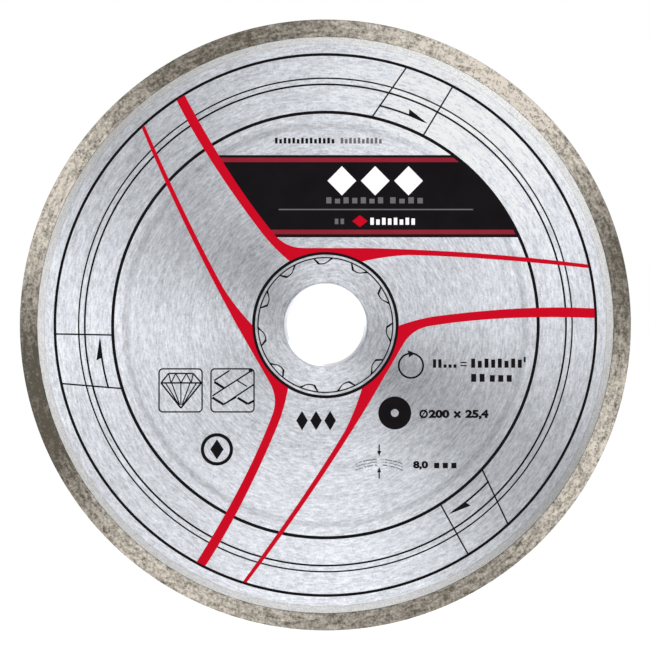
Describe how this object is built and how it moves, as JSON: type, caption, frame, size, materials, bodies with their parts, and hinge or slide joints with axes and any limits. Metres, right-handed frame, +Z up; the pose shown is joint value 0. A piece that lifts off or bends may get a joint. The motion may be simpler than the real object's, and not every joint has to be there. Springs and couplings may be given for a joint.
{
  "type": "diamond blade",
  "caption": "Thin steel disc with a central arbor hole, a continuous diamond cutting rim and printed rings, stripes and a label panel on one face.",
  "frame": {"origin": "centre of the arbor hole, on the middle plane of the steel", "axes": "+Y along the blade's axis, away from the printed face; +Z up across the disc; +X to the right when the printed face is looked at"},
  "size_m": [0.2, 0.0022, 0.2],
  "materials": {
    "brushed_steel": "fine brushed round the axis, satin",
    "rim_bond": "sintered metal without diamond, ground flush",
    "diamond_bond": "sintered metal bond with diamond grit, warm tan and gritty",
    "black_ink": "satin screen-printing ink",
    "red_ink": "satin screen-printing ink",
    "dark_red_ink": "satin screen-printing ink",
    "grey_ink": "satin screen-printing ink",
    "white_ink": "satin screen-printing ink"
  },
  "bodies": {
    "root": {"steel_core": "brushed_steel", "rim_base": "rim_bond", "diamond_rim": "diamond_bond", "black_rings": "black_ink", "hub_ring": "black_ink", "hub_notch_ring": "black_ink", "label_panel": "black_ink", "gem_frame": "black_ink", "tile_frame": "black_ink", "bore_icon": "black_ink", "rotation_icon": "black_ink", "panel_line_top": "dark_red_ink", "panel_line_bottom": "dark_red_ink", "panel_rule": "grey_ink", "panel_gem_1": "white_ink", "panel_gem_2": "white_ink", "panel_gem_3": "white_ink", "red_stripe_1": "red_ink", "red_stripe_2": "red_ink", "red_stripe_3": "red_ink"}
  },
  "joints": []
}
